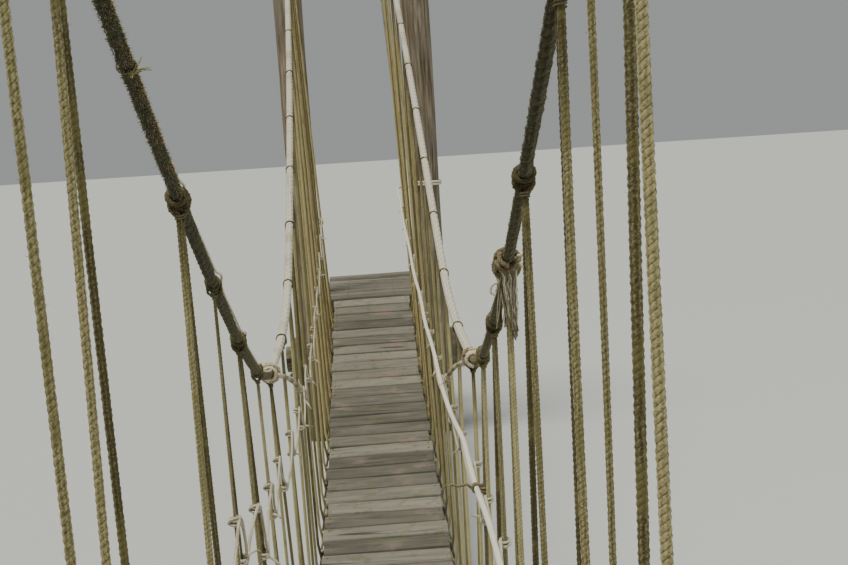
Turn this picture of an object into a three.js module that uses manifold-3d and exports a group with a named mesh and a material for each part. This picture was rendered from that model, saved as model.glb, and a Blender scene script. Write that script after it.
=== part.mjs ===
// Rope suspension footbridge between two log portals.
// Millimetres, +Z up, +X to the right, +Y along the walkway.
// The origin is on the ground, under the middle of the span.
import * as THREE from 'three';
import { mergeVertices } from 'three/addons/utils/BufferGeometryUtils.js';
import Module from 'manifold-3d';

const wasm = await Module();
wasm.setup();

// Driving dimensions of the span.
const MID_DECK_TOP = 700;       // height of the walking surface at mid-span
const DECK_RISE = 20e-6;        // the deck rises by this times Y squared
const DECK_HALF = 330;          // half width of the walking surface
const DECK_THICK = 40;
const DECK_END = 5560;          // where the swinging deck meets the landing
const STATION = 450;            // spacing of the hitches on the main ropes
const STEP = STATION / 2;       // every rope is made of straight steps this long
const SPLIT = -STEP / 2;        // station 0, where the old rope is joined to the new one

// Each main rope hangs in a V that is rounded at its low point, and has a corner at every station.
const ROPE_R = 16;
const SAG_HEIGHT = 1267;        // rope above the deck at mid-span
const SAG_SLOPE = 0.6;
const SAG_ROUND = 750;
const ROPE_HALF_GAUGE = 374;    // half the distance between the ropes at mid-span
const GAUGE_CLOSING = 4e-6;     // the ropes close in by this times Y squared
const GAUGE_SPREAD = 4.5e-6;    // but the left one spreads on the far half
const PINCH = 30;               // the new ropes are drawn in by this past the join
const PINCH_LENGTH = 400;
const SPLIT_GAP = 4;            // each rope's end stops this far short, inside the knot

// The knot that joins the two ropes, as radii and places along the rope, and the old rope's
// loose tail, as places from the knot's centre: inwards, along and up.
const KNOT_R = 46;
const KNOT_PROFILE = [[0, -65], [32, -60], [KNOT_R, -20], [KNOT_R, 20], [32, 60], [0, 65]];
const TAIL_R = 13;
const TAIL_PLACES = [[34, 20, -24], [46, 150, -85], [52, 330, -200], [58, 520, -330]];

// The frayed knot on the right rope, and its frayed ends on the inner side.
const FRAYED_STATION = -3;
const FRAYED_R = 44;
const FRAYED_HALF = 45;
const FRAYED_ENDS_R = 15;
const FRAYED_ENDS_INSIDE = 26;
const FRAYED_ENDS_FALL = 170;

// The side nets: hanger legs, a knotted lacing rope across them and the hand line.
const HANGER_R = 8;
const HANGER_FOOT_X = 341;
const HITCH_LENGTH = 40;
const HITCH_BORE = ROPE_R + 2;
const HITCH_WALL = 8;
const HANGER_START = 23;        // the legs start this far under the rope, inside the hitch's wall
const UNDER_KNOT = 6;           // or this far under a knot, where a knot takes the hitch's place
const LACING_R = 6;
const LACING_HEIGHT = 820;
const LACING_ZIGZAG = 32;
const HAND_LINE_R = 10;
const HAND_LINE_HEIGHT = 900;
const HAND_LINE_CLEARANCE = 4;
const HAND_LINE_PAST_DECK = 65;
const LOST_HANGER = -5;         // the left side has lost its hanger at this station
const LOST_LEGS = [-7, -6];     // and the near legs of these two, on the left and on the right

// Stations that aren't at even steps: the side, the number and how far along it is moved.
const MOVED_STATIONS = [[-1, -7, 170], [1, -8, -100], [1, -7, 190], [1, -6, 20], [1, -5, -150]];

// Ropes under the boards.
const FOOT_ROPE_R = 15;
const FOOT_ROPE_X = 308;

// The log portals, their landings and their ground anchors.
const PORTAL_Y = 5950;
const POST_X = 540;
const POST_R = 125;
const HEAD_R = 100;
const HEAD_HALF = 820;
const LANDING_LENGTH = 1400;
const LANDING_HALF = 400;
const LANDING_GAP = 10;
const SILL_R = 75;
const SILL_HALF = 500;
const SILL_INSET = 150;
const BEARER_R = 60;
const BEARER_X = 200;
const NOTCH = 40;
const LEG_X = 400;
const LEG_R = 65;
const BRACE_R = 45;
const BRACE_HEIGHT = 260;
const ANCHOR_Y = 8600;
const ANCHOR_R = 150;           // the log lies on the turns of rope round it
const ANCHOR_HALF = 1000;
const ANCHOR_ROPE_X = 600;
const STAKE_R = 45;
const STAKE_HEIGHT = 460;
const STAKE_XS = [-850, 0, 850];

// Facets around a section.
const ROPE_SIDES = 6;
const HANGER_SIDES = 4;
const LACING_SIDES = 3;
const RING_SIDES = 12;
const LOG_SIDES = 12;
const POLE_SIDES = 8;

// Steps along the longer pieces.
const TURN_STEPS = 6;
const TAIL_STEPS = 8;
const BAY_STEPS = 6;
const HAND_LINE_STEPS = 28;

const GAP = 0.4;                // left between pieces that touch
const CUT = 0.5;                // a piece cut by its neighbour clears it by this
const BITE = 8;                 // a piece joined to its neighbour goes this far into it
const WELD = 1e-3;              // points closer than this are one
const SLIVER = 0.05;            // edges shorter than this are dropped

const COLOURS = {
  mossy: [0x3d3320, 0.95],
  pale: [0xb9b29c, 0.9],
  hanger: [0x857a58, 0.95],
  board: [0x8b8578, 0.85],
  log: [0x6a5a45, 0.9],
};

const bridge = new THREE.Group();
const alongX = new THREE.Vector3(1, 0, 0);
const alongZ = new THREE.Vector3(0, 0, 1);

// Shapes of the span, all as functions of Y.
const deckTop = (y) => MID_DECK_TOP + DECK_RISE * y * y;
const ropeHeight = (y) => MID_DECK_TOP + SAG_HEIGHT + SAG_SLOPE * (Math.hypot(y, SAG_ROUND) - SAG_ROUND);
const closing = (side, y) => (side < 0 && y > 0 ? -GAUGE_SPREAD : GAUGE_CLOSING);
const pinch = (y) => (y > 0 ? PINCH * (1 - Math.exp(-((y / PINCH_LENGTH) ** 2))) : 0);
const ropeGauge = (side, y) => ROPE_HALF_GAUGE - closing(side, y) * y * y - pinch(y);
const ropePoint = (side, y) => new THREE.Vector3(side * ropeGauge(side, y), y, ropeHeight(y));

// A line whose place is a function of one number, such as Y, between two values of it.
class Route extends THREE.Curve {
  constructor(from, to, place) {
    super();
    this.from = from;
    this.to = to;
    this.place = place;
  }

  // Steps are even in that number, not in length.
  getUtoTmapping(u) {
    return u;
  }

  getPoint(t) {
    return this.place(this.from + t * (this.to - this.from));
  }
}

function add(name, geometry, look) {
  const [color, roughness] = COLOURS[look];
  const mesh = new THREE.Mesh(geometry, new THREE.MeshStandardMaterial({ color, roughness, metalness: 0 }));
  mesh.name = name;
  bridge.add(mesh);
}

function solidOf(geometry) {
  const bare = geometry.clone();
  bare.deleteAttribute('normal');
  bare.deleteAttribute('uv');
  const welded = mergeVertices(bare, WELD);
  return new wasm.Manifold(new wasm.Mesh({
    numProp: 3,
    vertProperties: new Float32Array(welded.attributes.position.array),
    triVerts: new Uint32Array(welded.index.array),
  }));
}

function geometryOf(solid) {
  const { vertProperties, triVerts } = solid.getMesh();
  const geometry = new THREE.BufferGeometry();
  geometry.setAttribute('position', new THREE.BufferAttribute(new Float32Array(vertProperties), 3));
  geometry.setIndex(new THREE.BufferAttribute(new Uint32Array(triVerts), 1));
  return geometry;
}

// Joins the geometries in one solid, cuts the cutters out of it and drops slivers left by that.
function joined(geometries, cutters = []) {
  const whole = geometries.map(solidOf).reduce((sum, next) => sum.add(next));
  const rest = cutters.map(solidOf).reduce((left, cutter) => left.subtract(cutter), whole);
  return geometryOf(rest.simplify(SLIVER));
}

function section(radius, sides) {
  const corner = (_, i) => new THREE.Vector2(
    radius * Math.cos((2 * Math.PI * (i + 0.5)) / sides),
    radius * Math.sin((2 * Math.PI * (i + 0.5)) / sides),
  );
  return new THREE.Shape(Array.from({ length: sides }, corner));
}

function tube(extrudePath, radius, sides, steps) {
  return new THREE.ExtrudeGeometry(section(radius, sides), { extrudePath, steps, bevelEnabled: false });
}

// A straight round bar between two points.
function bar(from, to, radius, sides) {
  const geometry = new THREE.CylinderGeometry(radius, radius, from.distanceTo(to), sides);
  const along = new THREE.Vector3().subVectors(to, from).normalize();
  geometry.applyQuaternion(new THREE.Quaternion().setFromUnitVectors(new THREE.Vector3(0, 1, 0), along));
  geometry.translate(...new THREE.Vector3().addVectors(from, to).multiplyScalar(0.5));
  return geometry;
}

// A cord pulled straight from point to point.
function polyline(points, radius, sides) {
  const line = new Route(0, points.length - 1, (at) => {
    const i = THREE.MathUtils.clamp(Math.floor(at), 0, points.length - 2);
    return points[i].clone().lerp(points[i + 1], at - i);
  });
  return tube(line, radius, sides, points.length - 1);
}

// The corner radius of a ring that just clears a round piece of this radius.
const snug = (radius, sides = RING_SIDES) => (radius + GAP) / Math.cos(Math.PI / sides);

// A ring around a round piece of a given radius, centred on a point.
function ring(centre, axis, radius, wall, width, sides) {
  const inner = snug(radius, sides);
  const shape = new THREE.Shape().absarc(0, 0, inner + wall, 0, 2 * Math.PI);
  shape.holes.push(new THREE.Path().absarc(0, 0, inner, 0, 2 * Math.PI, true));
  const curveSegments = sides / 2;
  const geometry = new THREE.ExtrudeGeometry(shape, { depth: width, curveSegments, bevelEnabled: false });
  geometry.translate(0, 0, -width / 2);
  geometry.applyQuaternion(new THREE.Quaternion().setFromUnitVectors(alongZ, axis));
  geometry.translate(...centre);
  return geometry;
}

// Where the main rope crosses the head beam: its last stretch is tangent to the beam.
const ROPE_SLOPE = Math.atan(ropeHeight(PORTAL_Y) - ropeHeight(PORTAL_Y - 1));
const TURN_R = HEAD_R + ROPE_R + CUT + GAP;
const HEAD_Z = ropeHeight(PORTAL_Y - TURN_R * Math.sin(ROPE_SLOPE)) - TURN_R * Math.cos(ROPE_SLOPE);
const ANCHOR_RING_SIDES = RING_SIDES + 2;
const ANCHOR_Z = snug(ANCHOR_R, ANCHOR_RING_SIDES) + 2 * ROPE_R;
const BACKSTAY_FALL = Math.atan2(HEAD_Z - ANCHOR_Z, ANCHOR_Y - PORTAL_Y);

// The main rope's points on one half of the bridge: the span, the turn over the beam, the backstay.
function ropeLine(side, end) {
  const points = [ropePoint(side, SPLIT + end * SPLIT_GAP)];
  for (let y = SPLIT + (end > 0 ? STEP : -STEP); Math.abs(y) < PORTAL_Y - TURN_R; y += end * STEP) {
    points.push(ropePoint(side, y));
  }
  const x = side * ropeGauge(side, end * PORTAL_Y);
  for (let i = 0; i <= TURN_STEPS; i += 1) {
    const angle = Math.PI / 2 + THREE.MathUtils.lerp(ROPE_SLOPE, -BACKSTAY_FALL, i / TURN_STEPS);
    points.push(new THREE.Vector3(
      x,
      end * (PORTAL_Y + TURN_R * Math.cos(angle)),
      HEAD_Z + TURN_R * Math.sin(angle),
    ));
  }
  const log = new THREE.Vector3(side * ANCHOR_ROPE_X, end * ANCHOR_Y, ANCHOR_Z);
  const pull = points.at(-1).clone().sub(log).setX(0).normalize();
  points.push(log.clone().addScaledVector(pull, snug(ANCHOR_R) + ROPE_R));
  return { points, log };
}

function mainRope(side, end, radius) {
  return polyline(ropeLine(side, end).points, radius, ROPE_SIDES);
}

function mainRopes() {
  for (const [sideName, side] of [['left', -1], ['right', 1]]) {
    for (const [endName, end] of [['near', -1], ['far', 1]]) {
      const { points, log } = ropeLine(side, end);
      const hitch = ring(log, alongX, ANCHOR_R, 2 * ROPE_R, 3 * ROPE_R, ANCHOR_RING_SIDES);
      const rope = joined([polyline(points, ROPE_R, ROPE_SIDES), hitch]);
      add(`main_rope_${sideName}_${endName}`, rope, end < 0 ? 'mossy' : 'pale');
    }
  }
}

function stationY(side, k) {
  const moved = MOVED_STATIONS.find(([movedSide, station]) => movedSide === side && station === k);
  return k * STATION + SPLIT + (moved ? moved[2] : 0);
}

// The radius of the knot on a main rope at a station, or 0 where there is none.
function knotRadius(side, k) {
  if (k === 0) return KNOT_R;
  return side > 0 && k === FRAYED_STATION ? FRAYED_R : 0;
}

// One side net between two stations, with the hitches themselves around the main rope.
function net(side, first, last) {
  const pieces = [];
  const knots = [];
  const stations = Array.from({ length: last - first + 1 }, (_, i) => first + i);
  for (const k of stations.filter((station) => side > 0 || station !== LOST_HANGER)) {
    const y = stationY(side, k);
    const centre = ropePoint(side, y);
    const along = ropePoint(side, y + 1).sub(centre).normalize();
    const down = new THREE.Vector3(0, along.z, -along.y);
    const knot = knotRadius(side, k);
    const head = centre.clone().addScaledVector(down, knot ? knot + UNDER_KNOT : HANGER_START);
    if (!knot) pieces.push(ring(centre, along, HITCH_BORE, HITCH_WALL, HITCH_LENGTH, ROPE_SIDES));
    for (const leg of k === LOST_LEGS[side < 0 ? 0 : 1] ? [1] : [-1, 1]) {
      const footY = y + (leg * STATION) / 4;
      const footZ = deckTop(footY) - DECK_THICK - 2 * FOOT_ROPE_R;
      const foot = new THREE.Vector3(side * HANGER_FOOT_X, footY, footZ);
      pieces.push(bar(head, foot, HANGER_R, HANGER_SIDES));
      const height = deckTop(footY) + LACING_HEIGHT + leg * LACING_ZIGZAG;
      knots.push(head.clone().lerp(foot, (head.z - height) / (head.z - foot.z)));
    }
  }
  pieces.push(polyline(knots, LACING_R, LACING_SIDES));
  return joined(pieces);
}

const BAYS = [[-11, -9], [-8, -5], [-4, -1], [0, 4], [5, 8], [9, 12]];

function nets() {
  for (const [sideName, side] of [['left', -1], ['right', 1]]) {
    BAYS.forEach(([first, last], bay) => {
      add(`net_${sideName}_${bay + 1}`, net(side, first, last), 'hanger');
    });
  }
}

// The bulky knots that join the old rope to the new one, each with the old rope's loose tail.
function joinKnot(side) {
  const centre = ropePoint(side, SPLIT);
  const knot = new THREE.LatheGeometry(KNOT_PROFILE.map(([r, y]) => new THREE.Vector2(r, y)), POLE_SIDES);
  const places = TAIL_PLACES.map(([inwards, y, z]) => new THREE.Vector3(-side * inwards, y, z).add(centre));
  const tail = tube(new THREE.CatmullRomCurve3(places), TAIL_R, ROPE_SIDES, TAIL_STEPS);
  const pieces = [knot.translate(...centre), tail];
  return joined(pieces, [-1, 1].map((end) => mainRope(side, end, ROPE_R + CUT)));
}

// A second, bigger knot on the right rope, with its frayed ends hanging.
function frayedKnot() {
  const y = stationY(1, FRAYED_STATION);
  const centre = ropePoint(1, y);
  const half = ropePoint(1, y + 1).sub(centre).setLength(FRAYED_HALF);
  const knot = bar(centre.clone().sub(half), centre.clone().add(half), FRAYED_R, POLE_SIDES);
  const root = centre.clone().addScaledVector(alongX, -FRAYED_ENDS_INSIDE);
  const top = root.clone().addScaledVector(alongZ, 2 * BITE - FRAYED_R);
  const tip = root.clone().addScaledVector(alongZ, -FRAYED_ENDS_FALL);
  return joined([knot, bar(top, tip, FRAYED_ENDS_R, ROPE_SIDES)], [mainRope(1, -1, ROPE_R + CUT)]);
}

// A stretch of the deck, cut from a slab that follows the hanging curve.
function deckBay(from, to) {
  const ys = Array.from({ length: BAY_STEPS + 1 }, (_, i) => from + (i * (to - from)) / BAY_STEPS);
  const outline = [
    ...ys.map((y) => new THREE.Vector2(y, deckTop(y) - DECK_THICK)),
    ...ys.reverse().map((y) => new THREE.Vector2(y, deckTop(y))),
  ];
  const shape = new THREE.Shape(outline);
  const geometry = new THREE.ExtrudeGeometry(shape, { depth: 2 * DECK_HALF, bevelEnabled: false });
  geometry.applyMatrix4(new THREE.Matrix4().set(0, 0, 1, -DECK_HALF, 1, 0, 0, 0, 0, 1, 0, 0, 0, 0, 0, 1));
  return geometry;
}

function decks() {
  const length = (2 * DECK_END) / BAYS.length;
  BAYS.forEach((_, bay) => {
    const from = -DECK_END + bay * length;
    add(`deck_bay_${bay + 1}`, deckBay(from + GAP / 2, from + length - GAP / 2), 'board');
  });
}

// The ends of the object: everything below is built for one end and made again for the other.
const LANDING_TOP = deckTop(DECK_END);
const LANDING_START = DECK_END + LANDING_GAP;
const BEARER_Z = LANDING_TOP - DECK_THICK - GAP - BEARER_R;
const SILL_Z = BEARER_Z - BEARER_R - SILL_R + NOTCH;
const SILL_YS = [LANDING_START + SILL_INSET, LANDING_START + LANDING_LENGTH - SILL_INSET];

function crossLog(y, z, halfLength, radius, sides = LOG_SIDES) {
  return bar(new THREE.Vector3(-halfLength, y, z), new THREE.Vector3(halfLength, y, z), radius, sides);
}

function anchor(end) {
  const stakeY = end * (ANCHOR_Y - ANCHOR_R - STAKE_R + BITE);
  const stakes = STAKE_XS.map((x) => bar(
    new THREE.Vector3(x, stakeY, 0),
    new THREE.Vector3(x, stakeY, STAKE_HEIGHT),
    STAKE_R,
    POLE_SIDES,
  ));
  return joined([crossLog(end * ANCHOR_Y, ANCHOR_Z, ANCHOR_HALF, ANCHOR_R), ...stakes]);
}

function post(side, end) {
  const foot = new THREE.Vector3(side * POST_X, end * PORTAL_Y, 0);
  const head = foot.clone().setZ(HEAD_Z - NOTCH);
  const beam = crossLog(end * PORTAL_Y, HEAD_Z, HEAD_HALF, HEAD_R + CUT);
  return joined([bar(foot, head, POST_R, LOG_SIDES)], [beam]);
}

function landingFrame(end) {
  const pieces = SILL_YS.flatMap((y) => {
    const legs = [-1, 1].map((side) => bar(
      new THREE.Vector3(side * LEG_X, end * y, 0),
      new THREE.Vector3(side * LEG_X, end * y, SILL_Z),
      LEG_R,
      POLE_SIDES,
    ));
    const sill = crossLog(end * y, SILL_Z, SILL_HALF, SILL_R);
    const brace = crossLog(end * y, BRACE_HEIGHT, LEG_X, BRACE_R, ROPE_SIDES);
    return [sill, brace, ...legs];
  });
  const bearers = [-1, 1].map((side) => bar(
    new THREE.Vector3(side * BEARER_X, end * (SILL_YS[0] - SILL_R), BEARER_Z),
    new THREE.Vector3(side * BEARER_X, end * (SILL_YS[1] + SILL_R), BEARER_Z),
    BEARER_R,
    POLE_SIDES,
  ));
  return joined([...pieces, ...bearers]);
}

function landingDeck(end) {
  const geometry = new THREE.BoxGeometry(2 * LANDING_HALF, LANDING_LENGTH, DECK_THICK);
  geometry.translate(0, end * (LANDING_START + LANDING_LENGTH / 2), LANDING_TOP - DECK_THICK / 2);
  return geometry;
}

function ends() {
  for (const [endName, end] of [['near', -1], ['far', 1]]) {
    for (const [sideName, side] of [['left', -1], ['right', 1]]) {
      add(`post_${endName}_${sideName}`, post(side, end), 'log');
    }
    add(`head_beam_${endName}`, crossLog(end * PORTAL_Y, HEAD_Z, HEAD_HALF, HEAD_R), 'log');
    add(`landing_frame_${endName}`, landingFrame(end), 'log');
    add(`landing_deck_${endName}`, landingDeck(end), 'board');
    add(`anchor_${endName}`, anchor(end), 'log');
  }
}

// The ropes that carry the boards, hitched around the first sill of each landing.
function footRope(side) {
  const height = (y) => deckTop(y) - DECK_THICK - FOOT_ROPE_R - GAP;
  const x = side * FOOT_ROPE_X;
  const span = new Route(-DECK_END, DECK_END, (y) => new THREE.Vector3(x, y, height(y)));
  const pieces = [tube(span, FOOT_ROPE_R, ROPE_SIDES, BAY_STEPS * BAYS.length)];
  for (const end of [-1, 1]) {
    const sill = new THREE.Vector3(x, end * SILL_YS[0], SILL_Z);
    const reach = (snug(SILL_R) + FOOT_ROPE_R) * Math.SQRT1_2;
    const from = new THREE.Vector3(x, end * (DECK_END - BITE), height(DECK_END - BITE) - GAP);
    const to = sill.clone().add(new THREE.Vector3(0, -end * reach, reach));
    pieces.push(bar(from, to, FOOT_ROPE_R, ROPE_SIDES));
    pieces.push(ring(sill, alongX, SILL_R, 2 * FOOT_ROPE_R, 2 * FOOT_ROPE_R, RING_SIDES));
  }
  return joined(pieces);
}

// The pale hand line inside the right net, hitched around both right posts.
function handLine() {
  const netX = (y) => {
    const share = HAND_LINE_HEIGHT / (ropeHeight(y) - deckTop(y));
    return THREE.MathUtils.lerp(HANGER_FOOT_X, ropeGauge(1, y), share);
  };
  const inside = HANGER_R + LACING_R + HAND_LINE_R + HAND_LINE_CLEARANCE;
  const reach = DECK_END + HAND_LINE_PAST_DECK;
  const place = (y) => new THREE.Vector3(netX(y) - inside, y, deckTop(y) + HAND_LINE_HEIGHT);
  const pieces = [tube(new Route(-reach, reach, place), HAND_LINE_R, HANGER_SIDES, HAND_LINE_STEPS)];
  for (const end of [-1, 1]) {
    const from = place(end * (reach - BITE));
    const hitch = new THREE.Vector3(POST_X, end * PORTAL_Y, from.z);
    const touch = hitch.clone().addScaledVector(alongX, -snug(POST_R) - HAND_LINE_R);
    pieces.push(bar(from, touch, HAND_LINE_R, HANGER_SIDES));
    pieces.push(ring(hitch, alongZ, POST_R, 2 * HAND_LINE_R, 2 * HAND_LINE_R, RING_SIDES));
  }
  return joined(pieces);
}

mainRopes();
nets();
add('join_knot_left', joinKnot(-1), 'pale');
add('join_knot_right', joinKnot(1), 'pale');
add('frayed_knot_right', frayedKnot(), 'mossy');
decks();
add('foot_rope_left', footRope(-1), 'hanger');
add('foot_rope_right', footRope(1), 'hanger');
add('hand_line_right', handLine(), 'pale');
ends();

export default bridge;
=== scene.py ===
import math

import bpy
import numpy as np
from mathutils import Matrix, Vector


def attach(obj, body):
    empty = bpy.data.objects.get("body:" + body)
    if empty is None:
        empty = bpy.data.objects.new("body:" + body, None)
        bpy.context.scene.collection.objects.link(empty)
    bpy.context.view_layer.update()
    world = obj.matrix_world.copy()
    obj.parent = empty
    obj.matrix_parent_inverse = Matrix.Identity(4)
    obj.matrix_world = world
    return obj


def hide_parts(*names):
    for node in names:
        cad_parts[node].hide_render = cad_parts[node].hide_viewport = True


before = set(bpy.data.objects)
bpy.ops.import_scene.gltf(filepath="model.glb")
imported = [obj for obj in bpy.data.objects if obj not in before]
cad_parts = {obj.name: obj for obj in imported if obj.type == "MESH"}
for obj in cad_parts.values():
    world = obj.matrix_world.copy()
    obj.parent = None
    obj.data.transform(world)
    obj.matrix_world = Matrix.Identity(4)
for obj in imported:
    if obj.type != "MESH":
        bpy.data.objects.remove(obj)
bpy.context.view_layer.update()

# View, floor and light. The camera is at eye height over the boards of the near half. It looks
# along the bridge and a little down, and is tipped sideways.
EYE = Vector((0.032, -4.366, 2.912))
YAW, PITCH, ROLL = (math.radians(angle) for angle in (2.439, 8.629, 3.658))
LENS = 50.0


def add_object(name, data):
    """A new object in the scene."""
    item = bpy.data.objects.new(name, data)
    bpy.context.scene.collection.objects.link(item)
    return item


ahead = Vector((math.sin(YAW) * math.cos(PITCH), math.cos(YAW) * math.cos(PITCH), -math.sin(PITCH)))
level = Vector((math.cos(YAW), -math.sin(YAW), 0))
upright = level.cross(ahead)
right = math.cos(ROLL) * level - math.sin(ROLL) * upright
up = math.sin(ROLL) * level + math.cos(ROLL) * upright

camera = add_object("view", bpy.data.cameras.new("view"))
camera.data.lens = LENS
camera.data.sensor_width = 36.0
camera.data.clip_end = 200.0
camera.matrix_world = Matrix.Translation(EYE) @ Matrix((right, up, -ahead)).transposed().to_4x4()
bpy.context.scene.camera = camera

FLOOR_HALF, FLOOR_Z = 60.0, -0.002
floor_mesh = bpy.data.meshes.new("floor")
corners = ((-1, -1), (1, -1), (1, 1), (-1, 1))
places = [(x * FLOOR_HALF, y * FLOOR_HALF, FLOOR_Z) for x, y in corners]
floor_mesh.from_pydata(places, [], [(0, 1, 2, 3)])
floor = add_object("floor", floor_mesh)

world = bpy.data.worlds.new("studio")
world.use_nodes = True
world.node_tree.nodes["Background"].inputs["Color"].default_value = (0.32, 0.335, 0.33, 1)
bpy.context.scene.world = world


def light_from(name, kind, place, target, power, colour):
    """A light at its place that looks at its target."""
    light = bpy.data.lights.new(name, kind)
    light.energy, light.color = power, colour
    turn = (Vector(target) - Vector(place)).to_track_quat("-Z", "Y").to_matrix().to_4x4()
    add_object(name, light).matrix_world = Matrix.Translation(place) @ turn
    return light


light_from("sky", "SUN", (-2.5, -1.5, 9.0), (0, 0, 1), 4.0, (1.0, 0.98, 0.93)).angle = math.radians(24)
light_from("side", "AREA", (8.0, -5.0, 6.0), (0, 0, 1.5), 350, (0.95, 0.98, 1.0)).size = 6.0


def tint(red, green, blue):
    """A colour given as it shows on screen, 0 to 255, as the linear colour that nodes take."""
    part = np.array([red, green, blue]) / 255
    linear = np.where(part <= 0.04045, part / 12.92, ((part + 0.055) / 1.055) ** 2.4)
    return (*linear.tolist(), 1.0)


class Wire:
    """One output of a node in a material. Sums, differences and products of wires and numbers
    add Math nodes, node() adds any other node, and the rest are short forms of node()."""

    def __init__(self, tree, socket=None):
        self.tree, self.socket = tree, socket

    def node(self, kind, settings, sockets, output=0):
        new = self.tree.nodes.new(kind)
        for key, value in settings.items():
            setattr(new, key, value)
        for key, value in sockets.items():
            if isinstance(value, Wire):
                self.tree.links.new(value.socket, new.inputs[key])
            else:
                new.inputs[key].default_value = value
        return Wire(self.tree, new.outputs[output])

    def noise(self, scale, detail=2.0, distortion=0.0):
        """Noise at the place or UV that this wire gives."""
        sockets = {"Vector": self, "Scale": scale, "Detail": detail, "Distortion": distortion}
        return self.node("ShaderNodeTexNoise", {}, sockets)

    def stretched(self, across, along):
        """This UV with its two parts scaled, which draws noise out into lines."""
        scale = (across, along, 1.0)
        return self.node("ShaderNodeVectorMath", {"operation": "MULTIPLY"}, {0: self, 1: scale})

    def part(self, axis):
        """One of the three parts of this vector."""
        return self.node("ShaderNodeSeparateXYZ", {}, {0: self}, axis)

    def cover(self):
        """Makes this shader the material's surface."""
        output = self.tree.nodes.new("ShaderNodeOutputMaterial")
        self.tree.links.new(self.socket, output.inputs["Surface"])

    def maths(self, operation, *others):
        return self.node("ShaderNodeMath", {"operation": operation}, dict(enumerate((self, *others))))

    def mix(self, low, high):
        """The colour low where this wire is 0 and high where it is 1: each a wire or a tint."""
        low, high = (c if isinstance(c, Wire) else tint(*c) for c in (low, high))
        return self.node("ShaderNodeMix", {"data_type": "RGBA"}, {0: self, 6: low, 7: high}, 2)

    def between(self, low, high):
        """0 where this wire is low or less, 1 where it is high or more, and smooth between."""
        settings = {"interpolation_type": "SMOOTHSTEP"}
        return self.node("ShaderNodeMapRange", settings, {0: self, 1: low, 2: high})

    def __add__(self, other):
        return self.maths("ADD", other)

    def __sub__(self, other):
        return self.maths("SUBTRACT", other)

    def __rsub__(self, other):
        return self * -1 + other

    def __mul__(self, other):
        return self.maths("MULTIPLY", other)

    __radd__ = __add__
    __rmul__ = __mul__


def new_finish(name):
    """An empty material, and wires from its UV, its place in metres and its mesh's tone."""
    material = bpy.data.materials.new(name)
    material.use_nodes = True
    material.node_tree.nodes.clear()
    start = Wire(material.node_tree)
    uv = start.node("ShaderNodeTexCoord", {}, {}, "UV")
    place = start.node("ShaderNodeTexCoord", {}, {}, "Object")
    tone = start.node("ShaderNodeAttribute", {"attribute_name": "tone"}, {}, "Fac")
    return material, uv, place, tone


def close_finish(colour, roughness, height, depth, sheen=0.0):
    """The surface shader: a colour, a roughness and a height whose 0 to 1 stands depth metres."""
    bump = height.node("ShaderNodeBump", {}, {"Strength": 1.0, "Distance": depth, "Height": height})
    sockets = {"Base Color": colour, "Roughness": roughness, "Normal": bump}
    sockets |= {"Specular IOR Level": 0.25, "Sheen Weight": sheen}
    height.node("ShaderNodeBsdfPrincipled", {}, sockets).cover()


floor_finish, place, *_ = new_finish("floor")
place.node("ShaderNodeBsdfDiffuse", {}, {"Color": tint(176, 178, 174)}).cover()
floor.data.materials.append(floor_finish)

# Main ropes. Two three-strand ropes carry everything. They sag between the two portals, pass
# over the head beams and run down to the anchor logs. The near halves are old, dark, slimmer
# than their solids and mossy, and the far halves are newer rope, pale and smooth from the sun.
DECK_MID = 0.7
DECK_RISE = 0.02
SAG_HEIGHT, SAG_SLOPE, SAG_ROUND = 1.267, 0.6, 0.75
HALF_GAUGE, GAUGE_CLOSING, GAUGE_SPREAD = 0.374, 0.004, 0.0045
PINCH, PINCH_LENGTH = 0.03, 0.4
SPLIT = -0.1125
PORTAL_Y, HEAD_R, TURN_R = 5.95, 0.1, 0.1169
ANCHOR_Y, ANCHOR_Z, ANCHOR_R, ANCHOR_ROPE_X = 8.6, 0.1863, 0.15, 0.6
OLD_R, NEW_R = 0.0155, 0.0182
ROPE_STEP = 0.011
THICK_MOSS_Y = -1.9
SLIM_YS, OLD_SLIM, MOSSY_SLIM = (-5.8, -5.5, -3.6, -3.3, -1.95, -1.85), 0.06, 0.2
WEAR_LENGTH, JOIN_TONE, DARKENING = 2.2, 0.62, {-1: 0.4, 1: 0.26}
OLD_LAY, NEW_LAY, STRAND_LAY, VALLEY = 0.1, 0.115, 0.03, 0.9
OLD_LUMPS, NEW_LUMPS, MOSSY_LUMPS = 0.05, 0.008, 1.7
WRAP_TURNS, WRAP_PITCH = 2.6, 0.04
X, Y, Z = np.eye(3)


def deck_top(y):
    """The boards' height: a shallow parabola."""
    return DECK_MID + DECK_RISE * y * y


def rope_place(side, y):
    """The main rope's centre at y: the height is a hyperbola about the low point. The distance
    from the middle changes with the square of y, and past the low point it also loses the pinch
    times 1 - exp(-(y / its length) ** 2)."""
    y = np.asarray(y, float)
    closing = np.where((side < 0) & (y > 0), -GAUGE_SPREAD, GAUGE_CLOSING)
    pinch = PINCH * (1 - np.exp(-(np.maximum(y, 0) / PINCH_LENGTH) ** 2))
    height = DECK_MID + SAG_HEIGHT + SAG_SLOPE * (np.hypot(y, SAG_ROUND) - SAG_ROUND)
    return np.stack([side * (HALF_GAUGE - closing * y * y - pinch), y, height], -1)


def rope_direction(side, y):
    """The main rope's direction at y."""
    return unit(rope_place(side, y + 0.05) - rope_place(side, y - 0.05))


def unit(vectors):
    """The same directions with length 1."""
    vectors = np.asarray(vectors, float)
    return vectors / np.linalg.norm(vectors, axis=-1, keepdims=True)


def length_along(path):
    """The distance from the path's start at each of its points."""
    return np.r_[0, np.cumsum(np.linalg.norm(np.diff(path, axis=0), axis=1))]


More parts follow.
